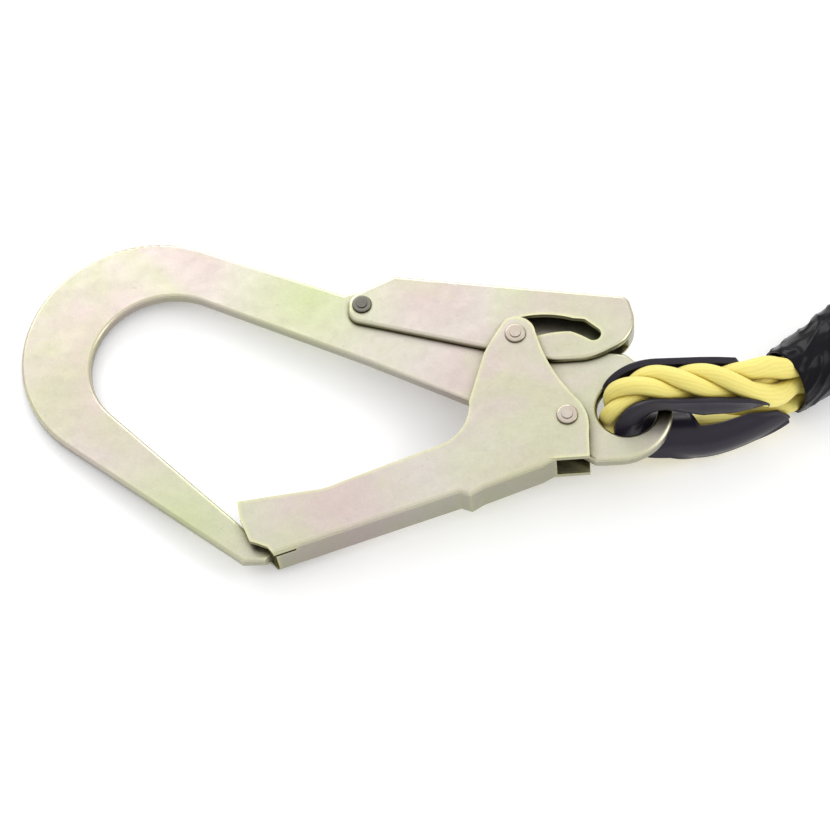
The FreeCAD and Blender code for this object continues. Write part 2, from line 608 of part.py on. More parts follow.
gate_rod = gate_rod.cut(along_gate(block(-8.0, 6.4, 16.0, 2 * TONGUE + 0.4)))
gate_rod = gate_rod.cut(along_gate(block(gate_len - 9.4, gate_len + 2.0, 16.0, 4.4)))
gate_rod = gate_rod.cut(disc(pin_at, 2.0, -8.0, 8.0))
gate_rod = gate_rod.cut(Part.makeCylinder(2.6, 20.0, HINGE + gate_dir * 6.0, gate_dir))
gate_pin = disc(pin_at, 2.0, -GATE_R - 0.3, GATE_R + 0.3)
collar = Part.makeCylinder(COLLAR_R, COLLAR_L, HINGE + gate_dir * COLLAR_AT, gate_dir)
collar = collar.makeChamfer(0.8, [e for e in collar.Edges if e.Closed])
collar = collar.cut(Part.makeCylinder(GATE_R + 0.3, 60.0, HINGE, gate_dir))
side_dir = vec(-gate_dir.y, gate_dir.x)
for k in range(14):
    angle = 2.0 * math.pi * k / 14.0
    out = side_dir * math.cos(angle) + vec(0, 0, 1) * math.sin(angle)
    foot = HINGE + gate_dir * (COLLAR_AT + 4.0) + out * (COLLAR_R + 0.35)
    collar = collar.cut(Part.makeCylinder(0.9, COLLAR_L - 8.0, foot, gate_dir))
plunger = Part.makeCylinder(2.4, 6.0, HINGE + gate_dir * 5.3, gate_dir)
gate_coil = coil_spring(1.9, 0.35, 1.9, 13.0, HINGE + gate_dir * 12.0, gate_dir)

bow_turn = math.radians(BOW_DROP)
rod_centre = far_place.multVec(vec(rod_x, 0, 0))
bow_place = frame(rod_centre, vec(-math.cos(bow_turn), 0, -math.sin(bow_turn)), vec(0, -1, 0))
absorber_place = frame(far_mouth, vec(-1, 0, 0), vec(0, -1, 0))

rope_parts = {
    "lanyard_rope_near": lead_in, "rope_coil": coil, "lanyard_rope_far": lead_out,
    "coil_ties": Part.makeCompound(ties)}
far_parts = {"far_eye": far_eye, "far_thimble": far_thimble}
far_sleeve_parts = {"far_sleeve": far_sleeve, "far_splice_core": far_splice}
absorber_parts = {
    "absorber_cover": cover, "absorber_tear_webbing": tear_web, "absorber_eye_strap": eye_strap,
    "absorber_rod_strap": rod_strap, "absorber_label": label,
    "absorber_bar_tacks": Part.makeCompound(tacks)}
carabiner_parts = {
    "carabiner_body": bow, "carabiner_gate": gate_rod, "carabiner_hinge_pin": gate_pin,
    "carabiner_collar": collar, "carabiner_plunger": plunger, "carabiner_spring": gate_coil}
groups = ((FreeCAD.Placement(), rope_parts), (far_place, far_parts),
          (far_sleeve_place, far_sleeve_parts), (absorber_place, absorber_parts),
          (bow_place, carabiner_parts))
for place, parts in groups:
    for name, shape in parts.items():
        shape.Placement = place.multiply(shape.Placement)
        save(name, to_row(shape))

for name, tube, run_len in (("near", lead_in, (touch - rope_start).Length),
                            ("far", lead_out, (far_end - leave).Length)):
    expected = math.pi * ROPE_R ** 2 * run_len
    print("lanyard_rope_%s straight, no arcs, length %.1f, tube %.0f, section x length %.0f" % (
        name, run_len, tube.Volume, expected))
turned = 360.0 + (90.0 - (SLEEVE_TURN - 90.0))
print("coil: %.1f degrees at radius %.1f, %.0f mm of rope" % (
    turned, COIL_R, math.radians(turned) * COIL_R))
for label_text, point in (("rope_start", rope_start), ("touch", touch), ("coil_centre", coil_centre),
                          ("leave", leave), ("far_end", far_end), ("far_mouth", far_mouth),
                          ("mouth", mouth), ("rod_centre", rod_centre)):
    print("%s in the row: %.2f %.2f %.2f" % (label_text, point.x - ROW_X, point.y - ROW_Y, point.z))
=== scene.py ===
import json
import math

import bmesh
import bpy
import numpy as np
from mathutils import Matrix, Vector, noise
from mathutils.bvhtree import BVHTree


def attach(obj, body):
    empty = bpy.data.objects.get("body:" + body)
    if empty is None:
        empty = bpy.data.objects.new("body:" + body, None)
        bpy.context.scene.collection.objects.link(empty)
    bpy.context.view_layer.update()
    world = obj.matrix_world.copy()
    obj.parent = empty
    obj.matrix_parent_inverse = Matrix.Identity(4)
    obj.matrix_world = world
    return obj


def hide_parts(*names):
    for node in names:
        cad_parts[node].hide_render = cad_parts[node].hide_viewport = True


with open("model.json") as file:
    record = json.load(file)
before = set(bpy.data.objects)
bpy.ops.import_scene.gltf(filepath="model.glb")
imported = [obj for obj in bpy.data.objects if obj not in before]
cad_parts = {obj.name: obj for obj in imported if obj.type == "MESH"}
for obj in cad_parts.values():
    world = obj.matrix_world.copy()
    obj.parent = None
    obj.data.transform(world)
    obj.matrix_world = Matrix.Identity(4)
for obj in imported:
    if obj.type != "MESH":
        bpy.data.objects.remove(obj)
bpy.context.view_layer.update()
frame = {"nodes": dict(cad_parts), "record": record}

MM = 0.001
ROW = Vector((32.5, 112.0, 0.0))        # row origin, measured from the hook's own origin
CAMERA_FAR = 0.9


def at(x, y, z=0.0):
    """Point given from the hook's own origin, in millimetres."""
    return (Vector((x, y, z)) - ROW) * MM


# ---- camera and light ------------------------------------------------------------------
TILT = math.radians(29.0)
target = at(0.0, 0.0, 15.2)
back = Vector((0.0, -math.sin(TILT), math.cos(TILT)))
cam_data = bpy.data.cameras.new("camera")
cam_data.sensor_width = 36.0
cam_data.lens = 104.9
cam_data.clip_start = 0.05
cam_data.clip_end = 20.0
camera = bpy.data.objects.new("camera", cam_data)
bpy.context.scene.collection.objects.link(camera)
camera.location = target + back * CAMERA_FAR
camera.rotation_euler = (TILT, 0.0, 0.0)
bpy.context.scene.camera = camera
bpy.context.scene.view_settings.view_transform = "Standard"


def area_light(name, place, aim, size, power):
    data = bpy.data.lights.new(name, "AREA")
    data.shape = "RECTANGLE"
    data.size, data.size_y = size
    data.energy = power
    lamp = bpy.data.objects.new(name, data)
    bpy.context.scene.collection.objects.link(lamp)
    lamp.location = place
    lamp.rotation_euler = (Vector(aim) - Vector(place)).to_track_quat("-Z", "Y").to_euler()


area_light("key_light", (-0.45, 1.25, 0.85), (-0.03, -0.1, 0.0), (1.4, 0.7), 12.0)
area_light("side_light", (1.1, -0.2, 0.7), (0.0, -0.1, 0.0), (0.5, 0.8), 3.0)

# studio light that is weaker near the horizon
HORIZON_GREY, FULL_HEIGHT = 0.60, 0.80
world = bpy.data.worlds.new("studio")
bpy.context.scene.world = world
world.use_nodes = True
sky = world.node_tree.nodes["Background"]
sky.inputs["Strength"].default_value = 1.02
direction = world.node_tree.nodes.new("ShaderNodeTexCoord")
height = world.node_tree.nodes.new("ShaderNodeSeparateXYZ")
fade = world.node_tree.nodes.new("ShaderNodeValToRGB")
world.node_tree.links.new(direction.outputs["Generated"], height.inputs["Vector"])
world.node_tree.links.new(height.outputs["Z"], fade.inputs["Fac"])
world.node_tree.links.new(fade.outputs["Color"], sky.inputs["Color"])
fade.color_ramp.elements[0].position = 0.0
fade.color_ramp.elements[0].color = (HORIZON_GREY, HORIZON_GREY, HORIZON_GREY, 1.0)
fade.color_ramp.elements[1].position = FULL_HEIGHT
fade.color_ramp.elements[1].color = (1.0, 1.0, 1.0, 1.0)


# ---- material helpers ------------------------------------------------------------------
class Nodes:
    """Short way to build a material's node tree."""

    def __init__(self, name, colour, rough, metal=0.0):
        self.material = bpy.data.materials.new(name)
        self.material.use_nodes = True
        self.tree = self.material.node_tree
        self.shader = self.tree.nodes["Principled BSDF"]
        self.set("Base Color", (*colour, 1.0))
        self.set("Roughness", rough)
        self.set("Metallic", metal)
        self.material.diffuse_color = (*colour, 1.0)
        self.bump_out = None

    def set(self, socket, value):
        self.shader.inputs[socket].default_value = value

    def add(self, kind, **values):
        node = self.tree.nodes.new(kind)
        for key, value in values.items():
            setattr(node, key, value)
        return node

    def link(self, out, into):
        self.tree.links.new(out, into)

    def coords(self, which="Object"):
        return self.add("ShaderNodeTexCoord").outputs[which]

    def mapped(self, source, scale):
        node = self.add("ShaderNodeMapping")
        node.inputs["Scale"].default_value = scale
        self.link(source, node.inputs["Vector"])
        return node.outputs["Vector"]

    def noise(self, source, scale, detail=4.0, rough=0.55, distort=0.0):
        node = self.add("ShaderNodeTexNoise")
        node.inputs["Scale"].default_value = scale
        node.inputs["Detail"].default_value = detail
        node.inputs["Roughness"].default_value = rough
        node.inputs["Distortion"].default_value = distort
        self.link(source, node.inputs["Vector"])
        return node.outputs["Fac"]

    def ramp(self, source, *stops):
        node = self.add("ShaderNodeValToRGB")
        ramp = node.color_ramp
        while len(ramp.elements) < len(stops):
            ramp.elements.new(0.5)
        for element, (place, colour) in zip(ramp.elements, stops):
            element.position = place
            element.color = colour if len(colour) == 4 else (*colour, 1.0)
        self.link(source, node.inputs["Fac"])
        return node.outputs["Color"]

    def grey_ramp(self, source, *stops):
        return self.ramp(source, *[(place, (v, v, v)) for place, v in stops])

    def mix(self, fac, a, b, mode="MIX"):
        node = self.add("ShaderNodeMix", data_type="RGBA", blend_type=mode)
        # a Mix node's colour sockets come after its float and vector ones
        for value, socket in ((fac, node.inputs[0]), (a, node.inputs[6]), (b, node.inputs[7])):
            if hasattr(value, "is_output"):
                self.link(value, socket)
            elif isinstance(value, tuple):
                socket.default_value = (*value, 1.0)
            else:
                socket.default_value = value
        return node.outputs[2]

    def math(self, kind, a, b=0.0):
        node = self.add("ShaderNodeMath", operation=kind)
        for value, socket in ((a, node.inputs[0]), (b, node.inputs[1])):
            if hasattr(value, "is_output"):
                self.link(value, socket)
            else:
                socket.default_value = value
        return node.outputs[0]

    def bump(self, height, strength, distance):
        node = self.add("ShaderNodeBump")
        node.inputs["Strength"].default_value = strength
        node.inputs["Distance"].default_value = distance
        self.link(height, node.inputs["Height"])
        if self.bump_out is not None:
            self.link(self.bump_out, node.inputs["Normal"])
        self.bump_out = node.outputs["Normal"]
        self.link(self.bump_out, self.shader.inputs["Normal"])


def paint(thing, material):
    thing.data.materials.clear()
    thing.data.materials.append(material)


def smooth(thing, angle=40.0):
    mesh = thing.data
    for face in mesh.polygons:
        face.use_smooth = True
    bm = bmesh.new()
    bm.from_mesh(mesh)
    limit = math.radians(angle)
    for edge in bm.edges:
        edge.smooth = len(edge.link_faces) == 2 and edge.calc_face_angle(0.0) < limit
    bm.to_mesh(mesh)
    bm.free()


class Build:
    """Gathers the rings of one mesh, with uvs in turns or metres round and metres along."""

    def __init__(self):
        self.verts, self.faces, self.uvs = [], [], []

    def rings(self, rings, marks=None, wrap=False, us=None, cap=True):
        base, count, around = len(self.verts), len(rings), len(rings[0])
        marks = list(range(count + 1)) if marks is None else list(marks) + [marks[-1]]
        us = [j / around for j in range(around + 1)] if us is None else us
        for ring in rings:
            self.verts.extend(tuple(place) for place in ring)
        for k in range(count if wrap else count - 1):
            near, far = base + k * around, base + (k + 1) % count * around
            for j in range(around):
                n = (j + 1) % around
                self.faces.append((near + j, near + n, far + n, far + j))
                self.uvs.append(((us[j], marks[k]), (us[j + 1], marks[k]),
                                 (us[j + 1], marks[k + 1]), (us[j], marks[k + 1])))
        if cap and not wrap:
            for k, order in ((0, range(around - 1, -1, -1)), (count - 1, range(around))):
                self.faces.append(tuple(base + k * around + j for j in order))
                self.uvs.append(tuple((us[j], marks[k]) for j in order))

    def tube(self, points, radius, around=8):
        """Round thread or piping with blunt ends along a line of points in metres."""
        marks, places = line_of(points)
        tangents, a, b = frames(places, (0.31, 0.52, 0.79))
        rings = []
        for k in range(len(places)):
            size = radius * (0.45 if k in (0, len(places) - 1) else 1.0)
            rings.append([places[k] + size * (math.cos(w) * a[k] + math.sin(w) * b[k])
                          for w in np.linspace(0.0, 2.0 * math.pi, around, endpoint=False)])
        self.rings(rings, marks)

    def finish(self, name, material, body="lanyard", slot=None):
        thing = new_mesh(name, self.verts, self.faces, self.uvs, body)
        paint(thing, material)
        return thing


def new_mesh(name, verts, faces, uvs=None, body="lanyard"):
    mesh = bpy.data.meshes.new(name)
    mesh.from_pydata([tuple(v) for v in verts], [], faces)
    mesh.update()
    if uvs is not None:
        layer = mesh.uv_layers.new(name="UVMap")
        for face in mesh.polygons:
            for corner, loop in zip(uvs[face.index], face.loop_indices):
                layer.data[loop].uv = corner
    thing = bpy.data.objects.new(name, mesh)
    bpy.context.scene.collection.objects.link(thing)
    for face in mesh.polygons:
        face.use_smooth = True
    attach(thing, body)
    return thing


# ---- materials -------------------------------------------------------------------------
def near_spots(m, where, spots):
    """1 at each spot (x, y and radius in millimetres from the hook's origin), fading outwards."""
    plate_z = 12.0
    total = 0.0
    for x, y, radius in spots:
        far = m.add("ShaderNodeVectorMath", operation="DISTANCE")
        m.link(where, far.inputs[0])
        far.inputs[1].default_value = at(x, y, plate_z)
        share = m.math("SUBTRACT", 1.0, m.math("DIVIDE", far.outputs["Value"], radius * MM))
        total = m.math("MAXIMUM", total, share)
    return total


def plating(name, colour, tint, rough, edge_tint=0.55, scale=1.0, rose=None, worn=None,
            rose_spots=(), tint_spots=()):
    """Satin zinc plating: cloudy tint, warmer worn edges that on the hook steel are a bright
    painted highlight along the bends, painted shade in corners and gaps, handling scratches.
    """
    m = Nodes(name, colour, rough, 1.0)
    rose = rose or colour
    where = m.coords()
    cloud = m.noise(where, 24.0 * scale, 5.0, 0.6, 0.5)
    speck = m.noise(where, 900.0, 3.0, 0.7)
    patches = m.grey_ramp(cloud, (0.42, 0.0), (0.62, 1.0))
    blush = m.grey_ramp(m.noise(where, 17.0 * scale, 3.0, 0.5), (0.48, 0.0), (0.64, 1.0))
    # Edge mask from the Bevel node's normal; it gives edges the worn colour, which on the hook
    # steel is a painted highlight along the bends.
    bevel = m.add("ShaderNodeBevel", samples=4)
    bevel.inputs["Radius"].default_value = 2.6 * MM
    plain = m.add("ShaderNodeNewGeometry")
    dot = m.add("ShaderNodeVectorMath", operation="DOT_PRODUCT")
    m.link(bevel.outputs["Normal"], dot.inputs[0])
    m.link(plain.outputs["Normal"], dot.inputs[1])
    edge = m.math("SUBTRACT", 1.0, dot.outputs["Value"])
    edge = m.math("MINIMUM", m.math("MULTIPLY", edge, 6.0 * edge_tint), 1.0)
    blush = m.math("MULTIPLY", blush, 0.6)
    patches = m.math("MULTIPLY", patches, 0.50)
    if rose_spots:
        blush = m.math("MAXIMUM", blush, near_spots(m, where, rose_spots))
        patches = m.math("MAXIMUM", patches, near_spots(m, where, tint_spots))
    base = m.mix(blush, colour, rose)
    base = m.mix(patches, base, tint)
    # A worn colour, where one is given, takes the place of the wear tint on the edges: on the hook
    # steel it is a painted highlight.
    base = m.mix(edge, base, worn or tint)
    dust = m.grey_ramp(speck, (0.30, 0.93), (0.62, 1.0))
    base = m.mix(1.0, base, dust, "MULTIPLY")
    # Ambient occlusion darkens the colour in gaps, corners and under overlapping plates: painted
    # shade.
    hidden = m.add("ShaderNodeAmbientOcclusion", samples=8)
    hidden.inputs["Distance"].default_value = 7.0 * MM
    gap_shade = m.ramp(hidden.outputs["AO"], (0.22, (0.05, 0.045, 0.02)), (0.52, (0.45, 0.43, 0.33)),
                   (0.84, (1.0, 1.0, 1.0)))
    base = m.mix(1.0, base, gap_shade, "MULTIPLY")
    scratch = m.noise(m.mapped(where, (40.0, 900.0, 300.0)), 3.0, 3.0, 0.7, 1.2)
    scratch_b = m.noise(m.mapped(where, (700.0, 60.0, 300.0)), 3.0, 3.0, 0.7, 0.9)
    lines = m.grey_ramp(m.math("MAXIMUM", scratch, scratch_b), (0.68, 0.0), (0.74, 1.0))
    # Faces that stand on edge, by their object-space normal, get a darker colour: painted shade on
    # the sides.
    facing = m.add("ShaderNodeSeparateXYZ")
    m.link(m.coords("Normal"), facing.inputs["Vector"])
    flank = m.math("ABSOLUTE", facing.outputs["Z"])
    base = m.mix(1.0, base, m.grey_ramp(flank, (0.15, 0.62), (0.75, 1.0)), "MULTIPLY")
    marks = m.noise(m.mapped(where, (95.0, 160.0, 120.0)), 2.0, 2.0, 0.6, 2.0)
    marks = m.grey_ramp(marks, (0.70, 1.0), (0.74, 0.84))
    m.link(m.mix(1.0, base, marks, "MULTIPLY"), m.shader.inputs["Base Color"])
    fine = m.noise(where, 260.0, 6.0, 0.7)
    rough_out = m.math("ADD", m.math("MULTIPLY", fine, 0.22), rough - 0.11)
    rough_out = m.math("ADD", rough_out, m.math("MULTIPLY", lines, 0.10))
    m.link(rough_out, m.shader.inputs["Roughness"])
    m.bump(fine, 0.08, 0.0004)
    m.bump(lines, 0.10, 0.0001)
    m.bump(m.noise(where, 45.0, 2.0, 0.5), 0.10, 0.004)
    return m.material


def spring_wire(name, colour, rough):
    m = Nodes(name, colour, rough, 1.0)
    where = m.coords()
    fine = m.noise(where, 1200.0, 3.0, 0.6)
    m.link(m.mix(fine, tuple(c * 0.7 for c in colour), colour), m.shader.inputs["Base Color"])
    m.bump(fine, 0.2, 0.0001)
    return m.material


def rope_fibre(name, bright, shade):
    """Strand of twisted yarns; u runs round the strand and v along it, in metres."""
    m = Nodes(name, bright, 0.6)
    m.set("Sheen Weight", 0.12)
    m.set("Sheen Roughness", 0.4)
    m.set("Subsurface Weight", 0.05)
    m.set("Subsurface Scale", 0.002)
    uv = m.coords("UV")
    split = m.add("ShaderNodeSeparateXYZ")
    m.link(uv, split.inputs["Vector"])
    yarns_round, yarn_twist = 15.0, 95.0        # yarns in a strand, and their turns in a metre
    turn = m.math("MULTIPLY", split.outputs["X"], yarns_round)
    lay = m.math("MULTIPLY", split.outputs["Y"], yarn_twist)
    drift = m.noise(m.mapped(uv, (1.6, 60.0, 1.0)), 3.0, 2.0, 0.5)
    phase = m.math("ADD", m.math("ADD", turn, lay), m.math("MULTIPLY", drift, 1.2))
    yarn = m.math("PINGPONG", phase, 0.5)
    yarn = m.grey_ramp(yarn, (0.0, 0.0), (0.16, 0.62), (0.5, 1.0))
    fibre = m.noise(m.mapped(uv, (46.0, 60.0, 1.0)), 4.0, 5.0, 0.68, 0.6)
    fuzz = m.noise(m.mapped(uv, (160.0, 420.0, 1.0)), 5.0, 3.0, 0.7)
    # Ambient occlusion darkens the colour where strands and yarns meet: painted shade between them.
    hidden = m.add("ShaderNodeAmbientOcclusion", samples=8)
    hidden.inputs["Distance"].default_value = 4.0 * MM
    depth = m.grey_ramp(hidden.outputs["AO"], (0.25, 0.0), (0.75, 1.0))
    tone = m.math("ADD", m.math("MULTIPLY", yarn, 0.10), m.math("MULTIPLY", fibre, 0.34))
    tone = m.math("ADD", tone, m.math("MULTIPLY", depth, 0.50))
    middle = tuple(0.62 * a + 0.38 * b for a, b in zip(bright, shade))
    colour = m.ramp(tone, (0.10, tuple(c * 0.55 for c in shade)), (0.36, shade), (0.62, middle),
                    (0.82, bright))
    m.link(colour, m.shader.inputs["Base Color"])
    m.link(m.math("ADD", m.math("MULTIPLY", fuzz, 0.2), 0.48), m.shader.inputs["Roughness"])
    m.bump(yarn, 0.16, 0.0003)
    m.bump(fibre, 0.30, 0.0003)
    m.bump(fuzz, 0.25, 0.0001)
    return m.material


def moulded(name, colour, rough, grain=900.0, coat=0.0, specular=0.32):
    """Black plastic with faint clouds, scuffs and a fine grain."""
    m = Nodes(name, colour, rough)
    m.set("Coat Weight", coat)
    m.set("Coat Roughness", 0.15)
    where = m.coords()
    cloud = m.noise(where, 60.0, 4.0, 0.6)
    fine = m.noise(where, grain, 4.0, 0.6)
    scuff = m.grey_ramp(m.noise(m.mapped(where, (500.0, 60.0, 500.0)), 2.0, 4.0, 0.7, 1.0),
                        (0.58, 0.0), (0.74, 1.0))
    lighter = tuple(min(1.0, c * 1.9 + 0.002) for c in colour)
    m.set("Specular IOR Level", specular)
    worn = m.mix(m.math("MULTIPLY", scuff, 0.5), colour, lighter)
    m.link(m.mix(m.math("MULTIPLY", cloud, 0.4), worn, lighter), m.shader.inputs["Base Color"])
    m.link(m.math("ADD", m.math("MULTIPLY", cloud, 0.24), rough - 0.12),
           m.shader.inputs["Roughness"])
    m.bump(cloud, 0.12, 0.001)
    m.bump(fine, 0.12, 0.0001)
    return m.material


def woven(name, colour, shade, column, pick, rough=0.7, stripe=None):
    """Webbing; u runs across the strap and v along it, both in metres."""
    m = Nodes(name, colour, rough)
    m.set("Sheen Weight", 0.3)
    split = m.add("ShaderNodeSeparateXYZ")
    m.link(m.coords("UV"), split.inputs["Vector"])
    across = m.math("MULTIPLY", split.outputs["X"], 1.0 / column)
    along = m.math("MULTIPLY", split.outputs["Y"], 1.0 / pick)
    along = m.math("ADD", along, m.math("MULTIPLY", m.math("FLOOR", across), 0.5))
    rib = m.math("PINGPONG", across, 0.5)
    pick_wave = m.math("PINGPONG", along, 0.5)
    height = m.math("MULTIPLY", m.math("POWER", rib, 0.5), m.math("POWER", pick_wave, 0.6))
    fibre = m.noise(m.mapped(m.coords("UV"), (3000.0, 900.0, 1.0)), 1.0, 3.0, 0.6)
    tone = m.math("ADD", m.math("MULTIPLY", height, 1.7), m.math("MULTIPLY", fibre, 0.35))
    base = m.ramp(tone, (0.2, shade), (0.85, colour))
    if stripe:
        half_girth = 0.0095 + 0.00056        # from one edge of the strap to the other, in metres
        edge = m.grey_ramp(m.math("PINGPONG", split.outputs["X"], half_girth),
                           (0.0, 0.0), (0.0035, 0.0), (0.0037, 1.0), (0.0052, 1.0), (0.0054, 0.0))
        base = m.mix(edge, base, stripe)
    m.link(base, m.shader.inputs["Base Color"])
    m.bump(height, 0.8, 0.0006)
    m.bump(fibre, 0.3, 0.0001)
    return m.material


def cloth(name, colour, shade, pitch):
    """Plain-woven cover cloth whose threads follow the pack's own sides."""
    m = Nodes(name, colour, 0.82)
    m.set("Sheen Weight", 0.35)
    split = m.add("ShaderNodeSeparateXYZ")
    m.link(m.coords(), split.inputs["Vector"])
    turn = 2.0 * math.pi / pitch
    warp = m.math("SINE", m.math("MULTIPLY", split.outputs["X"], turn))
    girth = m.math("ADD", split.outputs["Y"], split.outputs["Z"])
    weft = m.math("SINE", m.math("MULTIPLY", girth, turn))
    knots = m.math("ADD", m.math("MULTIPLY", m.math("MULTIPLY", warp, weft), 0.5), 0.5)
    cloud = m.noise(m.coords(), 90.0, 4.0, 0.6)
    fibre = m.noise(m.coords(), 2600.0, 2.0, 0.6)
    tone = m.math("ADD", m.math("MULTIPLY", knots, 0.55), m.math("MULTIPLY", cloud, 0.5))
    m.link(m.ramp(tone, (0.2, shade), (0.9, colour)), m.shader.inputs["Base Color"])
    m.bump(knots, 0.6, 0.0003)
    m.bump(fibre, 0.3, 0.0001)
    return m.material


def sewing_thread(name, colour, shade):
    """Twisted thread; u runs round it in turns and v along it in metres."""
    m = Nodes(name, colour, 0.6)
    m.set("Sheen Weight", 0.2)
    split = m.add("ShaderNodeSeparateXYZ")
    m.link(m.coords("UV"), split.inputs["Vector"])
    twist = m.math("ADD", m.math("MULTIPLY", split.outputs["X"], 2.0),
                   m.math("MULTIPLY", split.outputs["Y"], 900.0))
    ply = m.math("PINGPONG", twist, 0.5)
    m.link(m.ramp(ply, (0.05, shade), (0.3, colour)), m.shader.inputs["Base Color"])
    m.bump(ply, 0.5, 0.0001)
    m.bump(m.noise(m.coords(), 4000.0, 2.0, 0.6), 0.2, 0.00005)
    return m.material


def vinyl(name, colour, shade):
    """Printed label stock: faint cloud, a fine emboss and a soft gloss."""
    m = Nodes(name, colour, 0.42)
    cloud = m.noise(m.coords(), 120.0, 4.0, 0.6)
    emboss = m.noise(m.coords(), 1500.0, 2.0, 0.5)
    m.link(m.mix(m.math("MULTIPLY", cloud, 0.6), colour, shade), m.shader.inputs["Base Color"])
    m.link(m.math("ADD", m.math("MULTIPLY", cloud, 0.2), 0.32), m.shader.inputs["Roughness"])
    m.bump(emboss, 0.25, 0.0001)
    m.bump(cloud, 0.2, 0.0008)
    return m.material


# The hook steel's bright edge colour (0.80, 0.80, 0.44) is a painted highlight along its bends.
STEEL = plating("plated_steel", (0.645, 0.595, 0.54), (0.55, 0.60, 0.34), 0.34, 0.7, 1.0,
                (0.62, 0.495, 0.47), (0.80, 0.80, 0.44),
                rose_spots=((-118.0, 26.0, 62.0), (30.0, 12.0, 34.0), (-30.0, -38.0, 34.0),
                            (8.0, 52.0, 26.0)),
                tint_spots=((-88.0, -46.0, 46.0), (-40.0, 52.0, 40.0), (24.0, -26.0, 22.0),
                            (68.0, 32.0, 26.0)))
RIVET = plating("plated_rivet", (0.60, 0.54, 0.48), (0.52, 0.44, 0.34), 0.36, 0.3, 3.0)
DARK = plating("dark_rivet", (0.13, 0.125, 0.115), (0.22, 0.21, 0.17), 0.45, 0.8, 4.0)
BAR = plating("alloy_steel", (0.58, 0.58, 0.57), (0.50, 0.52, 0.44), 0.3, 0.3)
COLLAR = plating("collar", (0.60, 0.61, 0.63), (0.48, 0.48, 0.48), 0.34, 0.3)
WIRE = spring_wire("spring_steel", (0.5, 0.5, 0.5), 0.3)
ROPE = rope_fibre("yellow_rope", (0.91, 0.80, 0.23), (0.58, 0.44, 0.055))
BLACK = moulded("black_plastic", (0.014, 0.0115, 0.020), 0.33)
SHRINK = moulded("heat_shrink", (0.0030, 0.0024, 0.0046), 0.25, 500.0, 0.02, 0.12)
HOOK_TAPE = woven("tie_strap", (0.020, 0.020, 0.022), (0.004, 0.004, 0.005), 0.0008, 0.0011, 0.85)
WEBBING = woven("webbing", (0.80, 0.66, 0.10), (0.42, 0.30, 0.03), 0.0013, 0.0019, 0.7,
                (0.02, 0.02, 0.02))
TEAR = woven("tear_webbing", (0.70, 0.68, 0.60), (0.40, 0.38, 0.32), 0.0013, 0.0019)
COVER = cloth("cover_fabric", (0.030, 0.031, 0.036), (0.007, 0.007, 0.009), 0.0011)
THREAD = sewing_thread("thread", (0.70, 0.67, 0.58), (0.30, 0.28, 0.22))
LABEL = vinyl("label", (0.52, 0.53, 0.52), (0.42, 0.43, 0.42))

# ---- rope ------------------------------------------------------------------------------
ROPE_R = 7.0 * MM
LAY = 48.0 * MM         # length of one turn of a strand
LOOSE_LAY = 0.30        # share of that twist left where the strands splay
STRAND_SHARE = 0.485    # a strand's radius, as a share of the rope's


def route(points):
    """Points along a smooth spline that has the given ones as its control points."""
    curve = bpy.data.curves.new("route", "CURVE")
    curve.dimensions = "3D"
    curve.resolution_u = 24
    spline = curve.splines.new("NURBS")
    spline.points.add(len(points) - 1)
    for point, place in zip(spline.points, points):
        point.co = (*place, 1.0)
    spline.order_u = 3
    spline.use_endpoint_u = True
    holder = bpy.data.objects.new("route", curve)
    bpy.context.scene.collection.objects.link(holder)
    bpy.context.view_layer.update()
    mesh = bpy.data.meshes.new_from_object(holder)
    found = [v.co.copy() for v in mesh.vertices]
    bpy.data.objects.remove(holder)
    bpy.data.curves.remove(curve)
    bpy.data.meshes.remove(mesh)
    return found


def line_of(points):
    places = np.array([tuple(p) for p in points], float)
    steps = np.linalg.norm(np.diff(places, axis=0), axis=1)
    return np.concatenate([[0.0], np.cumsum(steps)]), places


def even(points, step):
    """The same line with points an even step apart."""
    run, places = line_of(points)
    count = max(2, int(round(run[-1] / step)) + 1)
    marks = np.linspace(0.0, run[-1], count)
    return marks, np.array([np.interp(marks, run, places[:, k]) for k in range(3)]).T


def frames(places, first_side):
    """Tangents and two sideways directions that don't twist along the line."""
    tangents = np.gradient(places, axis=0)
    tangents /= np.linalg.norm(tangents, axis=1)[:, None]
    side = np.array(first_side, float)
    sides = []
    for tangent in tangents:
        side = side - tangent * side.dot(tangent)
        side /= np.linalg.norm(side)
        sides.append(side.copy())
    sides = np.array(sides)
    return tangents, sides, np.cross(tangents, sides)


def laid_rope(name, points, first_side=(0, 0, 1), step=1.1 * MM, around=16, spread=None,
              untwist=0.0):
    """Three strands laid right-handed about the line; spread(marks) widens it along first_side.

    Up to the mark untwist, in metres, the strands run almost side by side.
    """
    marks, places = even(points, step)
    tangents, side_a, side_b = frames(places, first_side)
    strand_r = ROPE_R * STRAND_SHARE
    wide = spread(marks) if spread else np.ones(len(marks))
    offset_a = (ROPE_R * wide - strand_r)[:, None]
    offset_b = (ROPE_R * (1.0 - 0.35 * (wide - 1.0)) - strand_r)[:, None]
    rope = Build()
    turns = np.linspace(0.0, 2.0 * math.pi, around, endpoint=False)
    laid = np.maximum(marks, untwist) + LOOSE_LAY * np.minimum(marks - untwist, 0.0)
    for strand in range(3):
        angle = 2.0 * math.pi * (laid / LAY + strand / 3.0)
        centre = (places + offset_a * np.cos(angle)[:, None] * side_a
                  + offset_b * np.sin(angle)[:, None] * side_b)
        _, a, b = frames(centre, side_a[0])
        rings = []
        for k in range(len(places)):
            swell = strand_r * (1.0 + 0.025 * noise.noise(Vector(centre[k]) * 260.0)
                                + 0.75 * (wide[k] - 1.0))
            rings.append([centre[k] + swell * (math.cos(w) * a[k] + math.sin(w) * b[k])
                          for w in turns])
        rope.rings(rings, marks)
    return rope.finish(name, ROPE, slot="yellow_rope"), [tuple(p) for p in places]


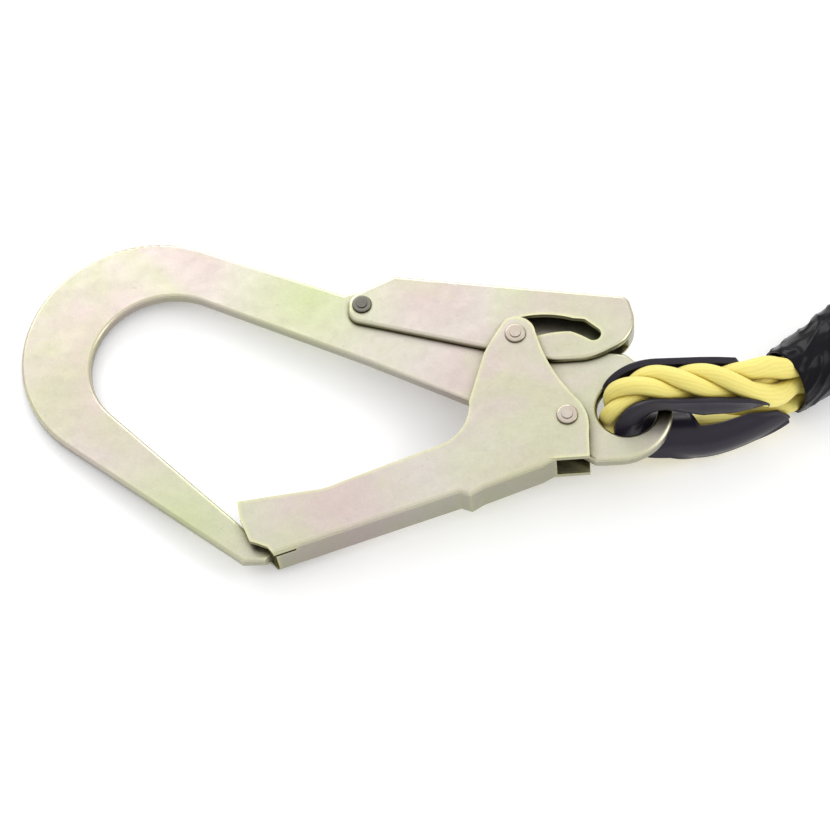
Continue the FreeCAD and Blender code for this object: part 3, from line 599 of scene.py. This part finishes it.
def band(points, width, thick, sideways, build, wrap=False):
    """Adds a flat strap with rounded edges to a build; its width runs along sideways."""
    marks, places = even(points, 1.0 * MM)
    if wrap:
        places = places[:-1]
    tangents = np.gradient(places, axis=0)
    if wrap:
        tangents = np.roll(places, -1, axis=0) - np.roll(places, 1, axis=0)
    tangents /= np.linalg.norm(tangents, axis=1)[:, None]
    w, t = width / 2.0, thick / 2.0
    edge = [(w - 0.4 * t, t), (w, 0.5 * t), (w, -0.5 * t), (w - 0.4 * t, -t)]
    row = [(w * (1.0 - k / 6.0), -t) for k in range(1, 12)]
    section = edge + row
    section += [(-x, -y) for x, y in edge] + [(-x, -y) for x, y in row]
    us = [0.0]
    for p, q in zip(section, section[1:] + section[:1]):
        us.append(us[-1] + math.dist(p, q))
    rings = []
    across = np.array(sideways, float)
    for k, place in enumerate(places):
        out = np.cross(tangents[k], across)
        rings.append([place + across * x + out * y for x, y in section])
    build.rings(rings, marks, wrap=wrap, us=us)


# free rope: out of the sleeve, 1.4 turns round the coil, out to the far sleeve
CHAIN_Y, CHAIN_Z = 142.68, 15.6         # line of the far sleeve, absorber and connector
COIL_C = Vector((223.5, 71.18, 0.0)) * MM
COIL_R = 71.5 * MM
TURN_FROM, TURN_TO, TURN_POINTS = -55.0, 450.0, 34
CLIMB_FROM, CLIMB = 235.0, 125.0        # degrees after the start where the rope rises
LOW_Z, HIGH_Z = 8.6 * MM, 22.6 * MM
turn_step = (TURN_TO - TURN_FROM) / TURN_POINTS
cord_route = [Vector((179.71, -46.76, 16.4)) * MM, Vector((220.5, -18.2, 13.0)) * MM]
for k in range(TURN_POINTS):
    turned = turn_step * (k + 0.5)
    angle = math.radians(TURN_FROM + turned)
    rise = min(max((turned - CLIMB_FROM) / CLIMB, 0.0), 1.0)
    place = COIL_C + Vector((math.cos(angle), math.sin(angle), 0.0)) * (
        COIL_R / math.cos(math.radians(turn_step / 2.0)))
    place.z = LOW_Z + (HIGH_Z - LOW_Z) * rise
    cord_route.append(place)
cord_route += [Vector((203.0, CHAIN_Y, 20.4)) * MM, Vector((171.5, CHAIN_Y, CHAIN_Z)) * MM]
free_rope, cord_path = laid_rope("free_rope", route(cord_route), around=12, step=1.5 * MM)
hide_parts("lanyard_rope_near", "rope_coil", "lanyard_rope_far")

# ties round both turns of the coil
ties = Build()
TIE_T, TIE_W, TAIL_W = 1.1 * MM, 12.0 * MM, 11.0 * MM
TAIL_END = 11.0         # height of the tail's end, in millimetres
for degrees in (60.0, -30.0):
    e_out = Vector((math.cos(math.radians(degrees)), math.sin(math.radians(degrees)), 0.0))
    e_up = Vector((0.0, 0.0, 1.0))
    hub = COIL_C + e_out * COIL_R
    fit_r = ROPE_R + 0.15 * MM + TIE_T / 2.0
    stadium = []
    for mid_z, first in ((HIGH_Z, 0.0), (LOW_Z, math.pi)):
        for k in range(13):
            w = first + math.pi * k / 12.0
            stadium.append(hub + e_up * mid_z + (e_out * math.cos(w) + e_up * math.sin(w)) * fit_r)
    stadium.append(stadium[0])
    across = Vector((-e_out.y, e_out.x, 0.0))
    band(stadium, TIE_W, TIE_T, across, ties, wrap=True)
    tail = []
    for k in range(9):
        w = 0.9 - k * 0.1125
        tail.append(hub + e_up * HIGH_Z
                    + (e_out * math.cos(w) + e_up * math.sin(w)) * (fit_r + TIE_T * 1.05))
    tail.append(hub + e_up * TAIL_END * MM + e_out * (fit_r + TIE_T * 1.1))
    band(tail, TAIL_W, TIE_T * 0.9, across, ties)
coil_ties = ties.finish("coil_tie_straps", HOOK_TAPE, slot="tie_strap")
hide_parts("coil_ties")

# ---- first rope eye --------------------------------------------------------------------
EYE_O = at(78.6 * math.cos(math.radians(4.8)), -2.1, 21.7)
LOOP_TURN, LOOP_ROLL = math.radians(2.5), math.radians(17.0)
SLEEVE_TURN = math.radians(35.0)
UP = Vector((0.0, 0.0, 1.0))
loop_x = Vector((math.cos(LOOP_TURN), math.sin(LOOP_TURN), 0.0))
loop_left = Vector((-math.sin(LOOP_TURN), math.cos(LOOP_TURN), 0.0))
loop_y = UP * math.cos(LOOP_ROLL) + loop_left * math.sin(LOOP_ROLL)
loop_n = loop_x.cross(loop_y)
sleeve_x = Vector((math.cos(SLEEVE_TURN), math.sin(SLEEVE_TURN), 0.0))
sleeve_near = Vector((math.sin(SLEEVE_TURN), -math.cos(SLEEVE_TURN), 0.0))
mouth = EYE_O + Vector((60.0, 15.6, -5.3)) * MM


def in_loop(x, y, near=0.0):
    return EYE_O + (loop_x * x + loop_y * y + loop_n * near) * MM


def in_sleeve(s, up, near):
    return mouth + (sleeve_x * s + UP * up + sleeve_near * near) * MM


eye_route = [
    in_sleeve(24, 5.0, 0.5), in_sleeve(8, 6.6, 0.5), in_sleeve(-4, 7.8, 1.0), in_loop(44, 12.0),
    in_loop(31, 13.4), in_loop(17, 13.4), in_loop(4.4, 13.4), in_loop(-4.0, 5.6),
    in_loop(-4.0, -5.2), in_loop(4.7, -13.0), in_loop(20, -12.6), in_loop(34, -12.2),
    in_sleeve(-6, -6.2, 3.0), in_sleeve(6, -6.6, 2.0), in_sleeve(24, -5.0, 0.5)]
eye_line = route(eye_route)


SPLAY, SPLAY_AT, SPLAY_LONG = 0.36, 35.0 * MM, 10.5 * MM


def mouth_spread(marks):
    """The strands splay just before the leg goes into the sleeve."""
    return 1.0 + SPLAY * np.exp(-((marks - SPLAY_AT) / SPLAY_LONG) ** 2)


rope_eye, _ = laid_rope("rope_eye_strands", eye_line, around=24, step=0.7 * MM,
                        first_side=(0.0, 0.875, 0.485), spread=mouth_spread, untwist=0.046)
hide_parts("rope_eye", "splice_core")


def thimble(name, points, normal, angles, step=0.7 * MM, belly=lambda place: 0.0):
    """Moulded channel under a rope; angles(k, count, place) gives where its two lips are.

    belly(place) gives extra wall, in millimetres, most of it at belly_at degrees.
    """
    marks, places = even(points, step)
    tangents = np.gradient(places, axis=0)
    tangents /= np.linalg.norm(tangents, axis=1)[:, None]
    inner, outer, rim = 7.25 * MM, 8.9 * MM, 0.75 * MM
    belly_at, belly_wide = 42.0, 34.0
    rings = []
    for k, place in enumerate(places):
        near = np.array(normal, float)
        near = near - tangents[k] * near.dot(tangents[k])
        near /= np.linalg.norm(near)
        inward = np.cross(near, tangents[k])
        lo, hi = angles(k, len(places), place)
        section = []
        for w in np.linspace(lo, hi, 25):
            lip = min(w - lo, hi - w)
            thick = belly(place) * math.exp(-((w - belly_at) / belly_wide) ** 2) * MM
            section.append((outer + thick + rim * max(0.0, 1.0 - lip / 9.0) ** 0.6, w))
        section.append((0.5 * (inner + outer) + rim, hi + 3.0))
        for w in np.linspace(hi, lo, 25):
            section.append((inner, w))
        section.append((0.5 * (inner + outer) + rim, lo - 3.0))
        rings.append([place + r * (math.cos(math.radians(w)) * inward
                                   + math.sin(math.radians(w)) * near) for r, w in section])
    build = Build()
    build.rings(rings, marks)
    piece = build.finish(name, BLACK, slot="black_plastic")
    smooth(piece, 60.0)
    return piece


FAR_LIP, NEAR_LIP = -124, 95            # where the thimble's lips start at the turn


def eye_lips(k, count, place):
    """Lips of the first thimble, in degrees from the middle of the loop towards the near side."""
    off = (Vector(place) - EYE_O) / MM
    x, y = off.dot(loop_x), off.dot(loop_y)
    if y > 4.0:
        lo = float(np.interp(x, (0, 40, 47, 53), (FAR_LIP, -122, -80, -10)))
        hi = float(np.interp(x, (0, 14, 42, 49, 53), (NEAR_LIP, 86, 86, 74, 20)))
        return lo, hi
    low_lo = float(np.interp(x, (0, 18, 27, 44, 54, 58), (-100, -90, 30, 36, 62, 100)))
    low_hi = float(np.interp(x, (0, 16, 26, 46, 58), (101, 112, 148, 146, 112)))
    blend = min(1.0, max(0.0, (4.0 - y) / 8.0))
    return FAR_LIP + (low_lo - FAR_LIP) * blend, NEAR_LIP + (low_hi - NEAR_LIP) * blend


channel = [p for p in eye_line
           if (p - EYE_O).dot(loop_x) < (53 if (p - EYE_O).dot(loop_y) > 0 else 57.5) * MM]


def eye_belly(place):
    """Extra wall, in mm, inside the first thimble's turn and upper leg."""
    off = (Vector(place) - EYE_O) / MM
    x, y = off.dot(loop_x), off.dot(loop_y)
    share = min(1.0, max(0.0, (y + 9.0) / 12.0))
    return share * float(np.interp(x, (-4, 6, 13, 27, 38, 48), (2.4, 1.5, 0.8, 3.2, 2.4, 0.2)))


eye_thimble = thimble("eye_thimble_shell", channel, loop_n, eye_lips, belly=eye_belly)
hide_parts("eye_thimble")

# ---- shrink sleeves --------------------------------------------------------------------


def profile(stations, s, column):
    xs = [row[0] for row in stations]
    ys = [row[column] for row in stations]
    return float(np.interp(s, xs, ys))


def shrink_tube(name, origin, along, up, stations, step_at, seed):
    """Tight wrinkled tube with a wall, open at its mouth, closing on the rope at its far end."""
    length = stations[-1][0]
    around = 144
    wall = 1.5
    side = along.cross(up)
    rows = [(0.35, -1.1), (0.0, -0.55), (0.25, -0.1)]
    rows += [(s, 0.0) for s in np.arange(1.0, length - 0.6, 0.8)]
    rows += [(length - 0.4, -0.2), (length, -0.7), (length - 0.2, -1.4)]
    rows += [(s, -wall) for s in np.linspace(length - 2.0, 1.4, 12)]
    rings = []
    for s, shrink in rows:
        half_a = profile(stations, s, 1) + shrink
        half_b = profile(stations, s, 2) + shrink
        layer = 0.6 / (1.0 + math.exp(-(s - step_at) / 0.35)) if step_at else 0.0
        ring = []
        for j in range(around):
            turn = 2.0 * math.pi * j / around
            c, d = math.cos(turn), math.sin(turn)
            crease = noise.fractal(Vector((s * 0.055, c * 1.3, d * 1.3 + seed)), 0.9, 2.1, 3)
            twist = turn + s * 0.05
            fold = 1.0 - abs(noise.noise(Vector((s * 0.075 + seed, 2.1 * math.cos(twist),
                                                 2.1 * math.sin(twist))))) * 3.2
            fold = max(0.0, fold) ** 2
            mark = 0.35 * math.cos(3.0 * turn - s * 0.13) * min(1.0, s / 20.0)
            out = layer + crease * 0.55 + fold * 0.55 - 0.45 + mark
            if shrink < -1.0:
                out = out * 0.4 - 0.2
            ring.append(origin + (along * s + up * c * (half_a + out)
                                  + side * d * (half_b + out)) * MM)
        rings.append(ring)
    build = Build()
    build.rings(rings, wrap=True)
    return build.finish(name, SHRINK, slot="heat_shrink")


SLEEVE = [(0.0, 15.6, 12.6), (12.0, 15.0, 13.6), (22.0, 14.7, 14.1), (30.0, 15.0, 14.6),
          (50.0, 14.8, 14.6), (72.0, 12.6, 12.4), (90.0, 9.4, 9.2)]
sleeve = shrink_tube("sleeve_skin", mouth, sleeve_x, UP, SLEEVE, 23.0, 1.7)
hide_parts("shrink_sleeve")
FAR_SLEEVE = [(0.0, 15.2, 12.4), (14.0, 14.4, 13.7), (36.0, 14.1, 13.8), (53.0, 9.4, 9.2)]
far_mouth = Vector((118.3, CHAIN_Y, CHAIN_Z)) * MM
far_sleeve = shrink_tube("far_sleeve_skin", far_mouth, Vector((1, 0, 0)), Vector((0, 1, 0)),
                         FAR_SLEEVE, 0.0, 6.2)
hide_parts("far_sleeve")

# ---- far rope eye ----------------------------------------------------------------------


def in_far(x, y, z=0.0):
    """Point given from the far sleeve's mouth: x on towards the absorber, y across."""
    return far_mouth + Vector((-x, y, z)) * MM


FAR_R = 22.0
bow_r = FAR_R / math.cos(math.radians(15.0))
far_half = [(-24, 5.0), (-7, 7.0), (4, 7.3), (15, 13.6), (25, 20.6)]
far_route = [in_far(x, y) for x, y in far_half]
for k in range(6):
    turn = math.radians(75.0 - 30.0 * k)
    far_route.append(in_far(34.0 + bow_r * math.cos(turn), bow_r * math.sin(turn)))
far_route += [in_far(x, -y) for x, y in reversed(far_half)]
far_line = route(far_route)
far_eye, _ = laid_rope("far_eye_strands", far_line, around=16, step=1.0 * MM)
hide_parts("far_eye", "far_splice_core")


def far_lips(k, count, place):
    taper = min(1.0, min(k, count - 1 - k) / 8.0)
    return -30.0 - 68.0 * taper, 30.0 + 68.0 * taper


far_channel = [p for p in far_line if (far_mouth - p).x > 16.5 * MM]
far_thimble = thimble("far_thimble_shell", far_channel, (0, 0, 1), far_lips, 0.9 * MM)
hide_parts("far_thimble")

# ---- energy absorber -------------------------------------------------------------------
PACK_FROM, PACK_TO = 80.0, 185.0
CORE_HALF = (19.0 * MM, 13.8 * MM)     # the folded webbing that the cover closes over
CORE_REACH = 43.0 * MM
pack_c = in_far((PACK_FROM + PACK_TO) / 2.0, 0.0)


def puffed(name, size, cap):
    """Stuffed cover: rounded block, remeshed, blown up as cloth, kept within cap of its start."""
    frames_run = 20
    bm = bmesh.new()
    bmesh.ops.create_cube(bm, size=1.0)
    for vert in bm.verts:
        vert.co = Vector([c * s for c, s in zip(vert.co, size)]) * MM
    bmesh.ops.bevel(bm, geom=list(bm.edges), offset=5.0 * MM, segments=3, affect="EDGES",
                    profile=0.6)
    mesh = bpy.data.meshes.new(name)
    bm.to_mesh(mesh)
    bm.free()
    pad = bpy.data.objects.new(name, mesh)
    bpy.context.scene.collection.objects.link(pad)
    pad.location = pack_c

    def apply_modifiers():
        view = bpy.context.evaluated_depsgraph_get()
        made = bpy.data.meshes.new_from_object(pad.evaluated_get(view))
        pad.modifiers.clear()
        pad.data = made

    remesh = pad.modifiers.new("remesh", "REMESH")
    remesh.mode = "VOXEL"
    remesh.voxel_size = 4.0 * MM
    apply_modifiers()
    start = [v.co.copy() for v in pad.data.vertices]
    sim = pad.modifiers.new("cloth", "CLOTH")
    sim.settings.quality = 6
    sim.settings.mass = 0.3
    sim.settings.use_pressure = True
    sim.settings.uniform_pressure_force = 5.0
    sim.settings.effector_weights.gravity = 0.0
    sim.point_cache.frame_start, sim.point_cache.frame_end = 1, frames_run
    for number in range(1, frames_run + 1):
        bpy.context.scene.frame_set(number)
    apply_modifiers()
    bpy.context.scene.frame_set(1)
    low_z = -pack_c.z + 0.8 * MM
    for v, was in zip(pad.data.vertices, start):
        move = v.co - was
        if move.length > cap * MM:
            v.co = was + move.normalized() * cap * MM
        v.co.z = max(v.co.z, low_z)
    divide = pad.modifiers.new("divide", "SUBSURF")
    divide.levels = divide.render_levels = 1
    apply_modifiers()
    for v in pad.data.vertices:
        spot = v.co / MM
        pull = 0.5 * noise.noise(Vector((spot.x * 0.11, spot.y * 0.16, spot.z * 0.16)))
        v.co += v.normal * pull * MM
        # below 1 inside a square-cornered oval round the folded webbing
        full = (abs(v.co.y / CORE_HALF[0]) ** 10 + abs(v.co.z / CORE_HALF[1]) ** 10) ** 0.1
        if abs(v.co.x) < CORE_REACH and full < 1.0:
            v.co.y /= max(full, 0.5)
            v.co.z /= max(full, 0.5)
        v.co += pack_c
    pad.location = (0.0, 0.0, 0.0)
    for face in pad.data.polygons:
        face.use_smooth = True
    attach(pad, "lanyard")
    paint(pad, COVER)
    return pad


cover = puffed("absorber_cover_pad", (101.0, 40.0, 26.6), 2.4)
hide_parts("absorber_cover")
skin = BVHTree.FromPolygons([v.co for v in cover.data.vertices],
                            [tuple(face.vertices) for face in cover.data.polygons])
RAY_BACK = 60.0 * MM


def on_cover(x, y, z, towards, lift):
    """Point where a line from outside meets the cover, raised by lift along its normal."""
    aim = Vector(towards)
    place, normal, _, _ = skin.ray_cast(in_far(x, y, z) - aim * RAY_BACK, aim)
    if place is None:
        return in_far(x, y, z)
    return place + normal * lift * MM


def stitch_line(build, places, length=2.8 * MM, gap=1.3 * MM, size=0.32 * MM, normal=None):
    """Separate stitches that dip into the cloth at their ends."""
    marks, spots = line_of(places)
    reach = 0.0
    while reach + length < marks[-1]:
        stitch = []
        for share in (0.0, 0.25, 0.5, 0.75, 1.0):
            spot = np.array([np.interp(reach + share * length, marks, spots[:, k])
                             for k in range(3)])
            sink = 0.45 * MM * (2.0 * share - 1.0) ** 4
            stitch.append(spot - (np.array(normal, float) if normal else np.zeros(3)) * sink)
        build.tube(stitch, size, 6)
        reach += length + gap


STITCH_ROW = 16.6       # rows of stitches, from the pack's middle
seams, piping = Build(), Build()
for side in (1, -1):
    run = [on_cover(x, 0.0, 7.0, (0, -side, 0), 0.1) for x in np.arange(84.0, 181.5, 1.5)]
    piping.tube(run, 0.95 * MM, 10)
    run = [on_cover(x, side * STITCH_ROW, 0.0, (0, 0, -1), 0.12)
           for x in np.arange(86.0, 179.5, 1.0)]
    stitch_line(seams, run, normal=(0, 0, 1))
for x in (87.0, 178.0):
    for towards, lift_n in (((0, 0, -1), (0, 0, 1)), ((0, 0, 1), (0, 0, -1))):
        run = [on_cover(x, y, 0.0, towards, 0.12) for y in np.arange(-15.5, 15.6, 0.8)]
        stitch_line(seams, run, normal=lift_n)
piping.finish("cover_piping", COVER, slot="cover_fabric")

# label sewn on top, following the cover
LABEL_L, LABEL_W = 62.0, 26.0
label_low, label_high = [], []
label_x = (PACK_FROM + PACK_TO - LABEL_L) / 2.0
COLS, ROWS = 62, 26
for i in range(COLS + 1):
    for j in range(ROWS + 1):
        x = label_x + LABEL_L * i / COLS
        y = LABEL_W * (j / ROWS - 0.5)
        spot = on_cover(x, y, 0.0, (0, 0, -1), 0.0)
        edge = min(i, COLS - i, j, ROWS - j)
        label_high.append(spot + Vector((0, 0, 0.55 if edge else 0.35)) * MM)
        label_low.append(spot - Vector((0, 0, 0.3)) * MM)
label_faces = []
total = len(label_high)
for i in range(COLS):
    for j in range(ROWS):
        a = i * (ROWS + 1) + j
        b, c, d = a + ROWS + 1, a + ROWS + 2, a + 1
        label_faces.append((a, d, c, b))
        label_faces.append((total + a, total + b, total + c, total + d))
rim = [i * (ROWS + 1) for i in range(COLS + 1)]
rim += [COLS * (ROWS + 1) + j for j in range(1, ROWS + 1)]
rim += [i * (ROWS + 1) + ROWS for i in range(COLS - 1, -1, -1)]
rim += [j for j in range(ROWS - 1, 0, -1)]
for a, b in zip(rim, rim[1:] + rim[:1]):
    label_faces.append((a, b, total + b, total + a))
label = new_mesh("absorber_label_patch", label_high + label_low, label_faces, None, "lanyard")
paint(label, LABEL)
smooth(label, 50.0)
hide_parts("absorber_label")
INSET = 1.8
corners = [(label_x + INSET, INSET - LABEL_W / 2), (label_x + LABEL_L - INSET, INSET - LABEL_W / 2),
           (label_x + LABEL_L - INSET, LABEL_W / 2 - INSET), (label_x + INSET, LABEL_W / 2 - INSET)]
for p, q in zip(corners, corners[1:] + corners[:1]):
    count = int(math.dist(p, q) / 0.8)
    run = [on_cover(p[0] + (q[0] - p[0]) * k / count, p[1] + (q[1] - p[1]) * k / count, 0.0,
                    (0, 0, -1), 0.0) + Vector((0, 0, 0.6)) * MM for k in range(count + 1)]
    stitch_line(seams, run, length=2.2 * MM, gap=1.0 * MM, size=0.28 * MM, normal=(0, 0, 1))
seams.finish("cover_stitching", THREAD, slot="thread")

# straps folded round the far eye and the carabiner, with their bar tacks
STRAP_T, STRAP_W = 2.3, 19.0
TACK_HALF = 7.5         # half the width of a bar tack
tacks = Build()
for name, node, turn_x, turn_r, end_x, tack_x in (
        ("eye_strap_webbing", "absorber_eye_strap", 52.2, 9.6, 88.0, 71.0),
        ("rod_strap_webbing", "absorber_rod_strap", 203.0, 5.6, 177.0, 188.0)):
    mid = turn_r + 1.2
    way = 1.0 if end_x > turn_x else -1.0
    fold = [in_far(end_x, 0.0, mid)]
    for k in range(17):
        w = math.pi * (0.5 + k / 16.0)
        fold.append(in_far(turn_x + way * mid * math.cos(w), 0.0, mid * math.sin(w)))
    fold.append(in_far(end_x, 0.0, -mid))
    webbing = Build()
    band(fold, STRAP_W * MM, STRAP_T * MM, (0, 1, 0), webbing)
    strap = webbing.finish(name, WEBBING, slot="webbing")
    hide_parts(node)
    for face_z in (1, -1):
        level = face_z * (mid + STRAP_T / 2.0 + 0.12)
        for first in (0.0, 3.4):
            zigzag = []
            for k in range(25):
                y = TACK_HALF * (k / 12.0 - 1.0)
                zigzag.append(in_far(tack_x + first + 2.2 * (k % 2), y, level))
            tacks.tube(zigzag, 0.34 * MM, 6)
            for x in (0.5, 1.7):
                tacks.tube([in_far(tack_x + first + x, y, level - face_z * 0.1)
                            for y in (-7.6, -2.5, 2.5, 7.6)], 0.3 * MM, 6)
tack_piece = tacks.finish("strap_bar_tacks", THREAD, slot="thread")
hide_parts("absorber_bar_tacks")

# ---- carried-over parts ----------------------------------------------------------------
FINISH = {
    "plated_steel": STEEL, "plated_rivet": RIVET, "dark_rivet": DARK, "spring_steel": WIRE,
    "yellow_rope": ROPE, "black_plastic": BLACK, "heat_shrink": SHRINK, "tie_strap": HOOK_TAPE,
    "cover_fabric": COVER, "webbing": WEBBING, "tear_webbing": TEAR, "thread": THREAD,
    "label": LABEL, "alloy_steel": BAR, "collar": COLLAR}
PLATE_EDGE = 0.25 * MM      # rounding drawn on the body's last sharp edges
slots = {row["node"]: row["material_slot"] for row in frame["record"]["subparts"]}
for name, node in frame["nodes"].items():
    paint(node, FINISH[slots[name]])
    for face in node.data.polygons:
        face.use_smooth = True
edge = frame["nodes"]["hook_plate"].modifiers.new("edge", "BEVEL")
edge.width = PLATE_EDGE
edge.segments = 2
edge.limit_method = "ANGLE"
edge.angle_limit = math.radians(50.0)
edge.harden_normals = False
for node in frame["nodes"].values():
    node.modifiers.new("shade", "WEIGHTED_NORMAL").keep_sharp = True

# ---- floor -----------------------------------------------------------------------------
floor_mesh = bpy.data.meshes.new("floor")
HALF = 6.0
floor_mesh.from_pydata([(-HALF, -HALF, 0), (HALF, -HALF, 0), (HALF, HALF, 0), (-HALF, HALF, 0)],
                       [], [(0, 1, 2, 3)])
floor = bpy.data.objects.new("floor", floor_mesh)
floor.location.z = -0.2 * MM
bpy.context.scene.collection.objects.link(floor)
fm = Nodes("floor", (0.92, 0.92, 0.92), 0.9)
grain = fm.noise(fm.coords(), 40.0, 3.0)
fm.link(fm.mix(grain, (0.90, 0.90, 0.90), (0.94, 0.94, 0.94)), fm.shader.inputs["Base Color"])
fm.set("Emission Color", (1.0, 1.0, 1.0, 1.0))
fm.set("Emission Strength", 0.19)
paint(floor, fm.material)
